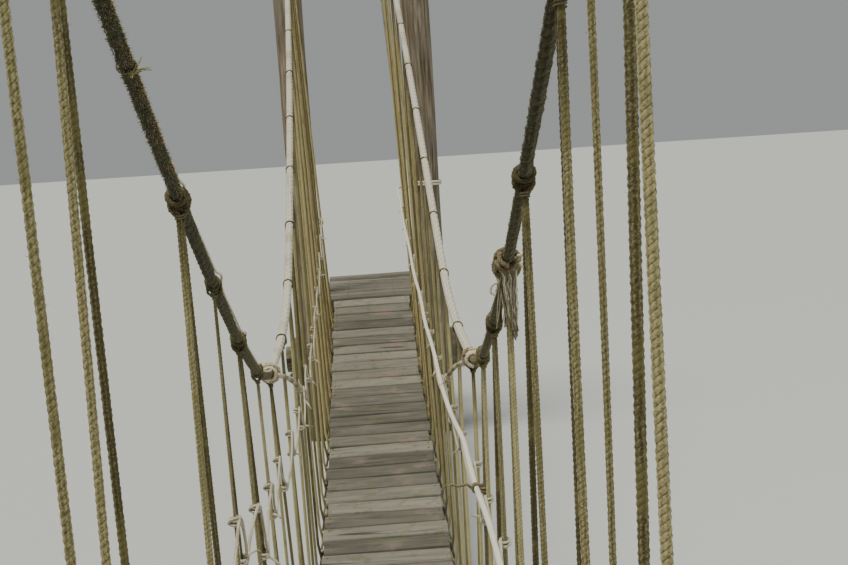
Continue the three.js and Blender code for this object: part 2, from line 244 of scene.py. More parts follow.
def even(path, step):
    """The same path with its points a step apart."""
    run = length_along(path)
    at = np.linspace(0, run[-1], max(2, round(run[-1] / step) + 1))
    return np.stack([np.interp(at, run, path[:, i]) for i in range(3)], 1)


def smooth(points, count=10):
    """A smooth path through points: each stretch is a cubic, and its slope at a point is half the
    difference of the point's two neighbours."""
    points = np.asarray(points, float)
    points = np.vstack([2 * points[0] - points[1], points, 2 * points[-1] - points[-2]])
    a, b, c, d = points[:-3, None], points[1:-2, None], points[2:-1, None], points[3:, None]
    t = np.linspace(0, 1, count, endpoint=False)[None, :, None]
    bend = (2 * a - 5 * b + 4 * c - d) * t ** 2 + (3 * b - a - 3 * c + d) * t ** 3
    return np.vstack([(b + ((c - a) * t + bend) / 2).reshape(-1, 3), points[-2]])


def slack_place(t, start, end, sag):
    """The share t along a slack run: the straight line plus 4 t (1 - t) times the sag vector."""
    return start + t * (np.asarray(end) - start) + 4 * t * (1 - t) * np.asarray(sag)


def hang(start, end, sag, count=12):
    """A slack run between two points."""
    return slack_place(np.linspace(0, 1, count)[:, None], start, end, sag)


def coil(centre, axis, start, radius, turns, pitch, count=16, flat=1.0):
    """Turns of rope round a bar: a helix about the axis that begins in the direction start and
    moves on by a pitch each turn. Negative turns go round the other way. The turns are flat times
    as wide across the start direction as along it."""
    axis = unit(axis)
    start = unit(start - (start @ axis) * axis)
    angle = np.linspace(0, 2 * np.pi * abs(turns), round(abs(turns) * count) + 1)[:, None]
    advance = pitch * (angle / (2 * np.pi) - abs(turns) / 2)
    other = np.cross(axis, start) * np.sign(turns) * flat
    return centre + advance * axis + radius * (np.cos(angle) * start + np.sin(angle) * other)


def skin(grid, run, tone, turning=0.0):
    """A closed surface over rings of points: a quad between each four neighbours, and quads
    across each end ring. The UV is the share of the way round, less the turning times the run,
    and the run in metres."""
    rings, sides = grid.shape[:2]
    i, j = np.meshgrid(np.arange(rings - 1), np.arange(sides), indexing="ij")
    step_i, step_j = np.array([0, 0, 1, 1]), np.array([0, 1, 1, 0])
    corner_i, corner_j = i[..., None] + step_i, j[..., None] + step_j
    wall = (corner_i * sides + corner_j % sides).reshape(-1, 4)
    wall_uv = np.stack([corner_j / sides - turning * run[corner_i], run[corner_i]], -1).reshape(-1, 4, 2)
    k = np.arange(sides // 2 - 1)
    lid = np.stack([k, k + 1, sides - 2 - k, sides - 1 - k], 1)
    faces = np.vstack([wall, lid[:, ::-1], lid + (rings - 1) * sides])
    lid_uv = np.zeros((*lid.shape, 2))
    uv = np.concatenate([wall_uv, lid_uv + [0, run[0]], lid_uv + [0, run[-1]]])
    tones = np.broadcast_to(np.asarray(tone, float).reshape(-1, 1), (rings, sides)).ravel()
    return grid.reshape(-1, 3), faces, uv, tones


def sections(path, across):
    """The run along a path, and two directions square to it: the nearest to the vector across,
    and the one square to both."""
    along = unit(np.gradient(path, axis=0))
    out = unit(across - (along @ across)[:, None] * along)
    return length_along(path), out[:, None], np.cross(along, out)[:, None]


def laid_rope(path, radius, pitch, sides, across, tone=0.5, valley=0.85, lumps=0.0):
    """A three-strand rope along a path. At the angle a round its section the radius is
    radius * (valley + (1 - valley) * |cos(1.5 a)| ** 0.6), and the section turns once a pitch.
    Lumps are swellings, as shares of the radius."""
    run, out, over = sections(path, across)
    angle = np.arange(sides) * 2 * np.pi / sides
    reach = radius * (valley + (1 - valley) * np.abs(np.cos(1.5 * angle)) ** 0.6)
    turn = (angle + 2 * np.pi * run[:, None] / pitch)[..., None]
    offset = np.cos(turn) * out + np.sin(turn) * over
    reach = reach[None, :] * (1 + lumps)
    return skin(path[:, None] + reach[..., None] * offset, run, tone)


def plain_rope(path, radius, pitch, sides, across, tone=0.5):
    """A round rope along a path, with a laid rope's mean radius. Only its UV turns."""
    run, out, over = sections(path, across)
    turn = (np.arange(sides) * 2 * np.pi / sides)[None, :, None]
    offset = np.cos(turn) * out + np.sin(turn) * over
    return skin(path[:, None] + 0.95 * radius * offset, run, tone, 1 / pitch)


def make_piece(name, shapes, finish, slot, *nodes):
    """One mesh from several shapes, each an array of points, of faces, of corner UVs and of a
    tone for each point. It rides on the bridge and stands for the CAD nodes."""
    points, faces, uvs, tones = zip(*shapes)
    starts = np.cumsum([0] + [len(each) for each in points])
    corners = np.concatenate([(each + first).ravel() for each, first in zip(faces, starts)])
    sizes = np.concatenate([np.full(len(each), each.shape[1]) for each in faces])
    mesh = bpy.data.meshes.new(name)
    mesh.vertices.add(starts[-1])
    mesh.vertices.foreach_set("co", np.concatenate(points).astype(np.float32).ravel())
    mesh.loops.add(len(corners))
    mesh.loops.foreach_set("vertex_index", corners.astype(np.int32))
    mesh.polygons.add(len(sizes))
    mesh.polygons.foreach_set("loop_start", np.r_[0, np.cumsum(sizes)[:-1]].astype(np.int32))
    mesh.update(calc_edges=True)
    uv = np.concatenate([each.reshape(-1, 2) for each in uvs])
    mesh.uv_layers.new(name="UVMap").data.foreach_set("uv", uv.astype(np.float32).ravel())
    tone = mesh.attributes.new("tone", "FLOAT", "POINT")
    tone.data.foreach_set("value", np.concatenate(tones).astype(np.float32))
    mesh.shade_smooth()
    mesh.materials.append(finish)
    piece = add_object(name, mesh)
    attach(piece, "root")
    if nodes:
        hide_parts(*nodes)


def rope_finish(name, shades, depth, patch, pitch, yarns=7, painted_sun=None):
    """Twisted rope: straight yarns, fine fibres, painted shade in the valleys between the strands, and
    growth in patches as wide as patch metres. The shades are of dark fibres, light fibres, the
    painted valley shade and growth. The tone sets how dark or light it is. Light fibres may turn gold
    towards the far end, which paints sunlight on the far net."""
    material, uv, place, tone = new_finish(name)
    dark, light, valley_shade, growth = shades
    crown = (uv.part(0) * (3 * math.pi)).maths("COSINE").maths("ABSOLUTE")
    fibre = uv.stretched(9.0, 90.0).noise(4.0, 3.0)
    grain = place.noise(300.0, 3.0)
    cloud = place.noise(1 / patch, 4.0)
    straight = (uv.part(0) + uv.part(1) * (1 / pitch)) * (2 * math.pi * yarns) + cloud * 9.0
    yarn = straight.maths("SINE") * 0.5 + 0.5
    # Painted sunlight: towards the far end the light fibres turn gold, as the sun on the far net.
    if painted_sun:
        light = place.part(1).between(1.0, 4.5).mix(light, painted_sun)
    mottle = fibre * 0.7 + grain.between(0.25, 0.75) * 0.28 + yarn * 0.16
    clean = (mottle + tone * 0.9 - 0.6).between(0.05, 0.95).mix(dark, light)
    overgrown = (cloud.between(0.44, 0.66) * (1.2 - tone)).between(0.1, 0.9) * 0.7
    # Painted shade: the valleys between the strands, where the crown is low, take the third shade.
    colour = (crown + grain * 0.3).between(0.03, 0.6).mix(valley_shade, overgrown.mix(clean, growth))
    height = crown * 0.4 + yarn * 0.16 + fibre * 0.24 + grain * 0.2
    close_finish(colour, grain * 0.1 + 0.86, height, depth, 0.1)
    return material


def portal_turn(side, end):
    """The rope's arc over the head beam, tangent to the span and to the backstay."""
    slope = math.atan(SAG_SLOPE * PORTAL_Y / math.hypot(PORTAL_Y, SAG_ROUND))
    touch = rope_place(side, end * (PORTAL_Y - TURN_R * math.sin(slope)))
    head_z = touch[2] - TURN_R * math.cos(slope)
    fall = math.atan2(head_z - ANCHOR_Z, ANCHOR_Y - PORTAL_Y)
    angle = np.pi / 2 + np.linspace(slope, -fall, 24)
    x = np.full(24, rope_place(side, end * PORTAL_Y)[0])
    y = end * (PORTAL_Y + TURN_R * np.cos(angle))
    return np.stack([x, y, head_z + TURN_R * np.sin(angle)], 1), head_z


def main_rope_path(side, end, radius):
    """From the split over the walkway, over the beam, down to the anchor log and round it."""
    over_beam, _ = portal_turn(side, end)
    y = np.linspace(SPLIT, over_beam[0, 1], 160)[:-1]
    log = [side * ANCHOR_ROPE_X, end * ANCHOR_Y, ANCHOR_Z]
    pull = unit((over_beam[-1] - log) * [0, 1, 1])
    touch = end * np.cross(pull, X)
    turns = -WRAP_TURNS * end * side
    wrap = coil(log, X * side, touch, ANCHOR_R + radius, turns, WRAP_PITCH, 40)
    return np.vstack([rope_place(side, y), over_beam, wrap])


# Each set of shades is of dark fibres, light fibres, the painted shade in the valleys between the
# strands, and growth.
shades = (40, 38, 19), (120, 111, 68), (30, 28, 15), (66, 66, 30)
mossy_finish = rope_finish("mossy_rope", shades, 0.003, 0.07, OLD_LAY)
shades = (142, 136, 116), (214, 208, 190), (150, 143, 122), (132, 126, 92)
pale_finish = rope_finish("pale_rope", shades, 0.0012, 0.14, NEW_LAY)
shades = (120, 112, 88), (216, 208, 182), (96, 88, 66), (120, 114, 80)
cord_finish = rope_finish("cord", shades, 0.0006, 0.1, STRAND_LAY, 4)

ROPES = (("left", -1), ("right", 1))
ENDS = (("near", -1), ("far", 1))
HALVES = (
    (-1, "old", "near", "mossy_rope", mossy_finish, OLD_R, OLD_LAY, OLD_LUMPS),
    (1, "new", "far", "pale_rope", pale_finish, NEW_R, NEW_LAY, NEW_LUMPS),
)
rope_random = np.random.default_rng(2)
for side_name, side in ROPES:
    for end, name, end_name, slot, finish, radius, pitch, bumpy in HALVES:
        path = even(main_rope_path(side, end, radius), ROPE_STEP)
        wear = np.clip(length_along(path) / WEAR_LENGTH, 0, 1)
        tone = JOIN_TONE - DARKENING[side] * wear * (end < 0)
        mossy = path[:, 1] < (THICK_MOSS_Y if side < 0 else -9)
        rough = np.clip(wear + 0.3, 0, 1) * np.where(mossy, MOSSY_LUMPS, 1)
        most = MOSSY_SLIM if side < 0 else OLD_SLIM
        slimming = (0, OLD_SLIM, OLD_SLIM, most, most, OLD_SLIM)
        slim = np.interp(path[:, 1], SLIM_YS, slimming) * (end < 0)
        lumps = rope_random.normal(0, bumpy, (len(path), 12)) * rough[:, None] - slim[:, None]
        rope = laid_rope(path, radius, pitch, 12, X, tone, VALLEY, lumps)
        whipping = coil(path[-5], path[-1] - path[-8], X, radius + 0.002, 7.5, 0.0052, 10)
        shapes = [rope, laid_rope(whipping, 0.0025, STRAND_LAY, 4, Z, 0.5)]
        make_piece(f"{name}_rope_{side_name}", shapes, finish, slot, f"main_rope_{side_name}_{end_name}")

# Moss. Short tufts of dry moss stand on the old halves of the main ropes, thick on the left one
# down to its fourth hitch from the join and thin elsewhere.
TUFTS, THIN_MOSS = {-1: 30000, 1: 7000}, {-1: 0.12, 1: 0.6}
MOSS_LENGTH, MOSS_WIDTH, MOSS_FACING = 0.0057, 0.001, (1.2, 1.3)
MOSS_YS = (-3.6, -3.3, THICK_MOSS_Y - 0.1, THICK_MOSS_Y)
moss_random = np.random.default_rng(11)


def tufts(path, at, radius, length, width, facing, random):
    """Thin three-sided spikes that stand on a rope at the numbered points of its path, each with
    three corners round its root and a tip further out, leaning at random. Facing is the angle
    round the rope that they stand at, and its spread."""
    count = len(at)
    along = unit(path[at + 1] - path[at - 1])
    out = unit(X - (along @ X)[:, None] * along)
    over = np.cross(out, along)
    over *= np.where(over[:, 2:] < 0, -1, 1)
    angle = random.normal(*facing, count)[:, None]
    away = np.cos(angle) * out + np.sin(angle) * over
    root = path[at] + away * radius * 0.77 + along * random.uniform(-0.005, 0.005, (count, 1))
    tip = root + (away + random.normal(0, 0.5, (count, 3))) * length * random.uniform(0.4, 1, (count, 1))
    sideways = np.cross(away, along)
    wide = width * random.uniform(0.5, 1, (count, 1))
    foot = [root + wide * (math.cos(a) * along + math.sin(a) * sideways) for a in (0.0, 2.1, 4.2)]
    points = np.stack([*foot, tip], 1).reshape(-1, 3)
    corners = np.array([[0, 2, 1], [0, 1, 3], [1, 2, 3], [2, 0, 3]])
    faces = (np.arange(count)[:, None, None] * 4 + corners).reshape(-1, 3)
    uv = np.zeros((len(faces), 3, 2)) + random.uniform(0, 1, (len(faces), 1, 2))
    tones = np.tile([0.25, 0.25, 0.25, 0.9], count) * np.repeat(random.uniform(0.3, 1.1, count), 4)
    return points, faces, uv, tones


def moss_material():
    """Dry moss: from dark green-brown at the foot of a tuft to ochre or olive at its tip."""
    material, _, place, tone = new_finish("moss")
    cloud = place.noise(24.0, 3.0)
    tip = cloud.between(0.42, 0.6).mix((184, 152, 74), (136, 130, 62))
    colour = tone.between(0.1, 0.8).mix((66, 58, 28), tip)
    close_finish(colour, cloud * 0.1 + 0.88, cloud, 0.001, 0.3)
    return material


moss_finish = moss_material()
for side_name, side in ROPES:
    over_beam, _ = portal_turn(side, -1)
    span = rope_place(side, np.arange(SPLIT - 0.08, over_beam[0, 1], -0.004))
    share = np.interp(span[1:-1, 1], MOSS_YS, (0.3, 1, 1, THIN_MOSS[side]))
    at = 1 + moss_random.choice(len(share), TUFTS[side], p=share / share.sum())
    shape = tufts(span, at, OLD_R, MOSS_LENGTH, MOSS_WIDTH, MOSS_FACING, moss_random)
    make_piece(f"moss_{side_name}", [shape], moss_finish, "mossy_rope")

# Side nets. Each hanger is a rope hitched to the main rope, and its two legs, seized together, run
# down outside the boards to the foot rope. A thin lacing is knotted from leg to leg. One hanger is
# lost but for a wisp, two others have lost their near leg, and some are of thinner rope.
STATION = 0.45
HANGER_R, LACING_R, SEIZING_R = 0.008, 0.0047, 0.0024
FOOT_ROPE_R, FOOT_ROPE_X = 0.015, 0.308
LEG_X = 0.343
BOARD_DEEP = 0.04
COIL_PITCH = 0.0175
HITCH_PITCH, HITCH_RISE = 0.0122, 0.0075
SEIZING_DROP = 0.038
MOVED = {(-1, -7): 0.17, (1, -8): -0.1, (1, -7): 0.19, (1, -6): 0.02, (1, -5): -0.15}
LOST = (-1, -5)
ONE_LEGGED = ((-1, -7), (1, -6))
THIN = {
    (-1, -7): 0.82, (-1, -6): 0.85, (-1, -3): 0.52, (-1, -2): 0.88,
    (-1, -1): 0.7, (-1, 0): 0.85, (1, -6): 0.75,
}
FRAYED = (1, -3)
KNOT_LUMP = 0.011
LACING_YS, LACING_ZIGZAG = (-3.0, -1.5, -1.0, 0.0, 2.5), 0.05
LACING_HEIGHTS = {-1: (0.85, 1.12, 0.96, 0.88, 0.76), 1: (0.82, 0.86, 0.84, 0.82, 0.82)}
LACING_LAY, LACING_PITCH = 0.028, 0.011
BAYS = ((-11, -9), (-8, -5), (-4, -1), (0, 4), (5, 8), (9, 12))
FINE_BAYS = (1, 2)
FINE_STEP, HANGER_LAY = 0.0042, 0.031
TONE_SHARES = (0, 0.42, 0.46, 0.54, 0.58, 1)
NEAR_TONES = (0.64, 0.58, 0.2, 0.24, 0.28, 0.2)
FAR_TONES = (0.66, 0.6, 0.12, 0.12, 0.34, 0.34)
SQUEEZE_NEAR, SQUEEZE_FAR, SQUEEZE_SHARE = 0.24, 0.45, 0.03
net_random = np.random.default_rng(7)
leg_lines = {-1: [], 1: []}

# The second value is a gold that paints sunlight on the light fibres of the far hangers.
shades, painted_sun = ((66, 59, 31), (192, 181, 130), (78, 70, 40), (112, 105, 62)), (212, 192, 130)
hanger_finish = rope_finish("hanger_rope", shades, 0.0011, 0.08, HANGER_LAY, 6, painted_sun)


def station_y(side, k):
    """Where a station is along the bridge."""
    return k * STATION + SPLIT + MOVED.get((side, k), 0)


def foot_place(side, y):
    """The foot rope's centre at y, under the boards."""
    height = deck_top(y) - BOARD_DEEP - FOOT_ROPE_R
    return np.stack([side * FOOT_ROPE_X + 0 * y, y, height], -1)


def foot_turns(side, y, random):
    """Two turns round the foot rope, begun on its outer side, and the short end that is left."""
    centre = foot_place(side, y)
    turns = coil(centre, Y, side * X, FOOT_ROPE_R + HANGER_R, 2 * side, COIL_PITCH)
    stub = [[side * 0.004, 0.004, -0.03], [side * 0.012, random.uniform(-0.02, 0.02), -0.07]]
    return np.vstack([turns, turns[-1] + np.array(stub)])


def knotted(side, k):
    """Whether a knot sits on the main rope at a station."""
    return k == 0 or (side, k) == FRAYED


def hanger_share(side, k):
    """How thick a station's hanger is, as a share of the common radius."""
    return THIN.get((side, k), 1)


def hitch_turns(side, k, random):
    """The hanger's turns round the main rope, which bite into it a little. On the new rope and the
    knots they are half a turn over the top. On the old rope they are a clove hitch: a turn that
    drifts along the rope, half a turn that crosses over the top, and a turn that drifts back."""
    y = station_y(side, k)
    centre, along = rope_place(side, y), rope_direction(side, y)
    if k > 0 or knotted(side, k):
        core = OLD_R + KNOT_LUMP if knotted(side, k) else 0.9 * NEW_R
        return coil(centre, along, side * X, core + 0.2 * HANGER_R, -0.5 * side, COIL_PITCH)
    turn = np.linspace(0, 2.5, 45)[:, None]
    drift = np.interp(turn, [0, 1, 1.5, 2.5], [0, -1, 1, 0]) * HITCH_PITCH * random.uniform(0.8, 1.2)
    crossing = HITCH_RISE * np.exp(-((turn - 1.25) / 0.17) ** 2)
    rise = crossing + 0.003 * np.sin(turn * random.uniform(4, 7)) ** 2
    reach = 0.86 * OLD_R + 0.5 * HANGER_R * hanger_share(side, k) + rise
    outward = unit(side * (X - (X @ along) * along))
    top = unit(np.cross(X, along))
    angle = 2 * np.pi * turn
    return centre + drift * along + reach * (np.cos(angle) * outward + np.sin(angle) * top)


def hanger_path(side, k, random):
    """A station's hanger rope, from end to end, and the point where its legs are seized."""
    y = station_y(side, k)
    drop = SEIZING_DROP * (0.75 + 0.25 * hanger_share(side, k))
    drop += KNOT_LUMP if knotted(side, k) else 0
    seizing = rope_place(side, y) - drop * Z
    hitch = hitch_turns(side, k, random)
    pieces = [hitch]
    for leg, start in ((-1, hitch[0]), (1, hitch[-1]))[(side, k) in ONE_LEGGED:]:
        foot_y = y + leg * STATION / 4 + random.uniform(-0.012, 0.012)
        turns = foot_turns(side, foot_y, random)
        edge = np.array([side * LEG_X, turns[0, 1], deck_top(foot_y) + 0.02])
        bow = random.normal(0, 0.004, 3) * [1, 1, 0]
        top = seizing + leg * 0.0085 * hanger_share(side, k) * Y
        leg_lines[side].append((top, edge, bow))
        down = np.vstack([start + [0, 0, -0.02], hang(top, edge, bow), turns])
        pieces = [down[::-1], *pieces] if leg < 0 else [*pieces, down]
    return np.vstack(pieces), seizing


def strand(line, thin, thick, dull, bright, random):
    """A strand along a line, as thick and as bright as chance makes it."""
    radius, tone = random.uniform(thin, thick), random.uniform(dull, bright)
    return plain_rope(line, radius, STRAND_LAY, 4, X, tone)


def fray(root, fall, count, reach, random):
    """Thin strands that leave the end of a rope, spread out and droop."""
    shapes = []
    for _ in range(count):
        length = reach * random.uniform(0.35, 1)
        swing = random.normal(0, 0.2 * length, 3)
        line = smooth([
            root + random.normal(0, 0.003, 3),
            root + fall * length * 0.4 + swing * 0.2,
            root + fall * length * 0.75 + swing * 0.6 - 0.05 * length * Z,
            root + fall * length + swing - 0.1 * length * Z,
        ], 3)
        shapes.append(strand(line, 0.0008, 0.0019, 0.2, 1.1, random))
    return shapes


def lacing_path(legs, side, random):
    """From leg to leg, with bulky turns round each and a slightly slack run between, and the
    places of the knots."""
    pieces, places = [], []
    for i, (top, edge, bow) in enumerate(legs):
        level = np.interp(edge[1], LACING_YS, LACING_HEIGHTS[side])
        height = deck_top(edge[1]) + level + (LACING_ZIGZAG if i % 2 else -LACING_ZIGZAG)
        t = (top[2] - height) / (top[2] - edge[2])
        centre = slack_place(t, top, edge, bow)
        centre[2] += random.uniform(-0.014, 0.014)
        radius = HANGER_R + 0.5 * LACING_R + random.uniform(0, 0.002)
        knot = coil(centre, edge - top, -side * X, radius, 2 * side, LACING_PITCH, 10)
        lean = unit(edge - top) + [0.4, random.choice([-0.9, 0.9]), 0]
        crossing = coil(centre, lean, -side * X, radius + 0.004, 1 * side, 0.002, 12)
        knot = np.vstack([knot, crossing])
        if pieces:
            sag = [random.normal(0, 0.006), 0, random.uniform(-0.022, 0.002)]
            pieces.append(hang(pieces[-1][-1], knot[0], sag, 8)[1:-1])
        pieces.append(knot)
        places.append(centre)
    return np.vstack(pieces), places


for side_name, side in ROPES:
    for bay, (first, last) in enumerate(BAYS):
        shapes = []
        fine = bay in FINE_BAYS
        for k in range(first, last + 1):
            if (side, k) == LOST:
                place = rope_place(side, station_y(side, k))
                wisp = coil(place, rope_direction(side, place[1]), X, OLD_R + 0.001, 1.2, 0.008)
                shapes.append(plain_rope(wisp, 0.0018, STRAND_LAY, 4, Y, 0.3))
                shapes += fray(wisp[-1], np.array([0.8, 0, 0.5]), 9, 0.045, net_random)
                continue
            path, seizing = hanger_path(side, k, net_random)
            path = even(path, FINE_STEP) if fine else path
            share = length_along(path) / length_along(path)[-1]
            tones = NEAR_TONES if k < 0 else FAR_TONES
            tone = np.interp(share, TONE_SHARES, tones) + net_random.normal(0, 0.08)
            radius = HANGER_R * hanger_share(side, k)
            squeeze = SQUEEZE_FAR if k > 0 else SQUEEZE_NEAR
            tight = (-squeeze * np.exp(-((share - 0.5) / SQUEEZE_SHARE) ** 2))[:, None]
            if fine:
                shapes.append(laid_rope(path, radius, HANGER_LAY, 6, Y, tone, 0.86, tight))
            else:
                squeezed = radius * (1 + tight[..., None])
                shapes.append(plain_rope(path, squeezed, HANGER_LAY, 6, Y, tone))
            turns = coil(seizing, Z, X, 1.225 * radius, 2.2, 0.0055, 12, 1.8)
            shapes.append(plain_rope(turns, SEIZING_R, 0.02, 4, Z, 0.3))
        name = f"{side_name}_{bay + 1}"
        make_piece(f"hangers_{name}", shapes, hanger_finish, "hanger_rope", f"net_{name}")
    path, knots = lacing_path(leg_lines[side], side, net_random)
    shapes = [plain_rope(path, LACING_R, LACING_LAY, 6, Z, 0.6)]
    for place in knots[::2]:
        away = unit(net_random.normal(0, 1, 3) * [0.6, 1, 0.5] - [0.5 * side, 0, 0.3])
        stub = hang(place, place + away * net_random.uniform(0.035, 0.06), [0, 0, 0.004], 6)
        shapes.append(plain_rope(stub, LACING_R * 0.9, LACING_LAY, 6, [0.5, 0.3, 0.8], 0.8))
        shapes += fray(stub[-1], away, 3, 0.02, net_random)
    make_piece(f"lacing_{side_name}", shapes, cord_finish, "hanger_rope")

# Fuzz and the thin pale cord. Stray fibres stand off the near legs, and a thin cord lies along the
# old ropes and over their last four hitches down to the join.
FUZZ_PER_LEG = 130
FUZZ_FROM_Y, FUZZ_TO_Y = -3.5, 0.2
FUZZ_LENGTH, FUZZ_WIDTH = 0.006, 0.0004
CORD_FROM_Y, CORD_STEP, CORD_R = -2.02, 0.012, 0.0034
CORD_LIFT, HITCH_LIFT, HITCH_HALF, CORD_WAVE = 0.0016, 0.012, 0.03, 0.0025
shapes = []
for _, side in ROPES:
    for top, edge, bow in leg_lines[side]:
        if FUZZ_FROM_Y < edge[1] < FUZZ_TO_Y:
            leg = even(hang(top, edge, bow), 0.004)
            at = net_random.integers(1, len(leg) - 1, FUZZ_PER_LEG)
            shapes.append(tufts(leg, at, HANGER_R, FUZZ_LENGTH, FUZZ_WIDTH, (0, 3), net_random))
make_piece("fuzz", shapes, cord_finish, "hanger_rope")

for side_name, side in ROPES:
    ys = np.arange(CORD_FROM_Y, SPLIT - 0.05, CORD_STEP)
    station = np.round((ys - SPLIT) / STATION) * STATION + SPLIT
    over_hitch = HITCH_LIFT * np.exp(-((ys - station) / HITCH_HALF) ** 2)
    lift = OLD_R + CORD_LIFT + over_hitch + CORD_WAVE * np.abs(np.sin(ys * 7))
    out = unit(np.stack([0.75 + 0.3 * np.sin(ys * 4), 0 * ys, 0.85 + 0 * ys], 1))
    path = rope_place(side, ys) + lift[:, None] * out
    rope = plain_rope(path, CORD_R, STRAND_LAY, 6, X, 1.1)
    make_piece(f"thin_cord_{side_name}", [rope], cord_finish, "pale_rope")

# Boards. Grey sawn boards lie across the two foot ropes, a finger's width apart, each a little
# cupped, twisted and worn, with two rusty nails at each end. Two landings carry the same boards.
BOARD_PITCH, BOARD_WIDE, BOARD_THICK, BOARD_HALF = 0.1655, 0.152, 0.036, 0.324
DECK_END = 5.56
LANDING_FROM, LANDING_LENGTH, LANDING_HALF = 5.57, 1.4, 0.4
BEARER_X = 0.2
board_random = np.random.default_rng(3)


def board(y, half, top, slope, random):
    """A sawn board along X. Its section is |y|**7 + |z|**7 = 1, scaled to its width and thickness,
    which cups by the square of y and twists evenly from end to end."""
    x = np.concatenate([[-1, -0.995], np.linspace(-0.97, 0.97, 12), [0.995, 1]])
    inset = np.interp(np.abs(x), [0, 0.97, 0.995, 1], [1, 1, 0.97, 0.86])
    angle = 2 * np.pi * (np.arange(16) + 0.5) / 16
    wide, deep = (np.sign(c) * np.abs(c) ** (2 / 7) for c in (np.cos(angle), np.sin(angle)))
    width = BOARD_WIDE / 2 * random.uniform(0.95, 1.02)
    edge = 1 + 0.012 * np.sin(x * random.uniform(3, 9) + random.uniform(0, 6))
    local_y = width * wide[None, :] * (edge * inset)[:, None]
    cup = random.uniform(-0.0025, 0.0015) * (local_y / width) ** 2
    sag = random.normal(0, 0.0012) * x[:, None] ** 2
    local_z = BOARD_THICK / 2 * deep[None, :] * inset[:, None] + cup + sag
    turn = slope + random.normal(0, 0.008) + random.normal(0, 0.012) * x[:, None]
    skew = random.normal(0, 0.006)
    half += random.uniform(-0.014, 0.002)
    shift = random.uniform(-0.006, 0.006)
    grid = np.stack([
        half * x[:, None] + 0 * local_y + shift,
        y + np.cos(turn) * local_y - np.sin(turn) * local_z + skew * x[:, None],
        top - BOARD_THICK / 2 - 0.002 + np.sin(turn) * local_y + np.cos(turn) * local_z,
    ], -1)
    run = half * x + random.uniform(0, 40)
    return skin(grid, run, random.uniform(0, 1))


def nails(y, half, top_of):
    """The heads of a board's four nails: low domes of three rings. Their tone, 2, marks the rust."""
    angle = 2 * np.pi * np.arange(6) / 6
    ring = np.stack([np.cos(angle), np.sin(angle), 0 * angle], 1)
    rings = np.array([[0.0048, -0.004], [0.0044, -0.0012], [0.002, 0.0]])
    dome = ring * rings[:, None, :1] + [0, 0, 1] * rings[:, None, 1:]
    places = [(x, y + dy) for x in (-half + 0.03, half - 0.03) for dy in (-0.042, 0.04)]
    return [skin(dome + [x, at, top_of(at)], 0.01 * np.arange(3), 2.0) for x, at in places]


def board_material():
    """Grey weathered wood: fine grain and dark cracks along the board, and faint green and pink
    stains. The tone makes each board its own shade, and over 1.5 it is rust."""
    material, uv, place, tone = new_finish("deck_board")
    grain = uv.stretched(60.0, 3.0).noise(1.0, 5.0, 0.3)
    fine = uv.stretched(190.0, 9.0).noise(1.0, 3.0, 0.3)
    crack = uv.stretched(26.0, 1.4).noise(1.0, 2.0, 0.3)
    stain, moss = place.noise(5.0, 4.0), place.noise(17.0, 5.0)
    blend = (grain * 0.8 + tone * 0.5 - 0.15).between(0.1, 0.95)
    base = blend.mix((72, 69, 60), (133, 129, 114))
    base = stain.between(0.52, 0.72).mix(base, (120, 105, 96))
    base = (moss.between(0.52, 0.7) * 0.6).mix(base, (90, 95, 62))
    split = 1 - crack.between(0.3, 0.36)
    colour = (split * 0.8 + fine.between(0.58, 0.75) * 0.25).mix(base, (48, 43, 36))
    rust = place.noise(900.0).mix((70, 44, 30), (128, 82, 54))
    colour = tone.between(1.4, 1.6).mix(colour, rust)
    height = grain * 0.4 + fine * 0.3 - split * 0.9
    close_finish(colour, grain * 0.2 + 0.72, height, 0.0022)
    return material


board_finish = board_material()
DECK_BAYS = 6
centres = (np.arange(round(2 * DECK_END / BOARD_PITCH)) + 0.5) * BOARD_PITCH
centres -= centres.mean()
bay_of = np.floor((centres + DECK_END) / (2 * DECK_END) * DECK_BAYS).astype(int)
for bay in range(DECK_BAYS):
    shapes = []
    for y in centres[bay_of == bay]:
        shapes.append(board(y, BOARD_HALF, deck_top(y), math.atan(2 * DECK_RISE * y), board_random))
        shapes += nails(y, BOARD_HALF, deck_top)
    make_piece(f"boards_{bay + 1}", shapes, board_finish, "deck_board", f"deck_bay_{bay + 1}")
count = round(LANDING_LENGTH / BOARD_PITCH)
for end_name, end in ENDS:
    shapes = []
    for y in end * (LANDING_FROM + (np.arange(count) + 0.5) * LANDING_LENGTH / count):
        shapes.append(board(y, LANDING_HALF - 0.006, deck_top(DECK_END), 0.0, board_random))
        shapes += nails(y, BEARER_X + 0.03, lambda at: deck_top(DECK_END))
    name = f"landing_boards_{end_name}"
    make_piece(name, shapes, board_finish, "deck_board", f"landing_deck_{end_name}")

# Logs. The portals, the landings' frames and the anchors are round logs without bark, grey and
# split by drying. The posts are notched for the head beams, and the joints are lashed.
POST_X, POST_R, HEAD_HALF, NOTCH = 0.54, 0.125, 0.82, 0.04
SILL_R, SILL_HALF, SILL_INSET = 0.075, 0.5, 0.15
BEARER_R, LEG_LOG_X, LEG_R, BRACE_R, BRACE_Z = 0.06, 0.4, 0.065, 0.045, 0.26
ANCHOR_HALF, STAKE_R, STAKE_HEIGHT, STAKE_XS = 1.0, 0.045, 0.46, (-0.85, 0.0, 0.85)
HEAD_Z = portal_turn(1, 1)[1]
BEARER_Z = deck_top(DECK_END) - BOARD_DEEP - 0.0004 - BEARER_R
SILL_Z = BEARER_Z - BEARER_R - SILL_R + NOTCH
SILL_YS = (LANDING_FROM + SILL_INSET, LANDING_FROM + LANDING_LENGTH - SILL_INSET)
log_random = np.random.default_rng(5)


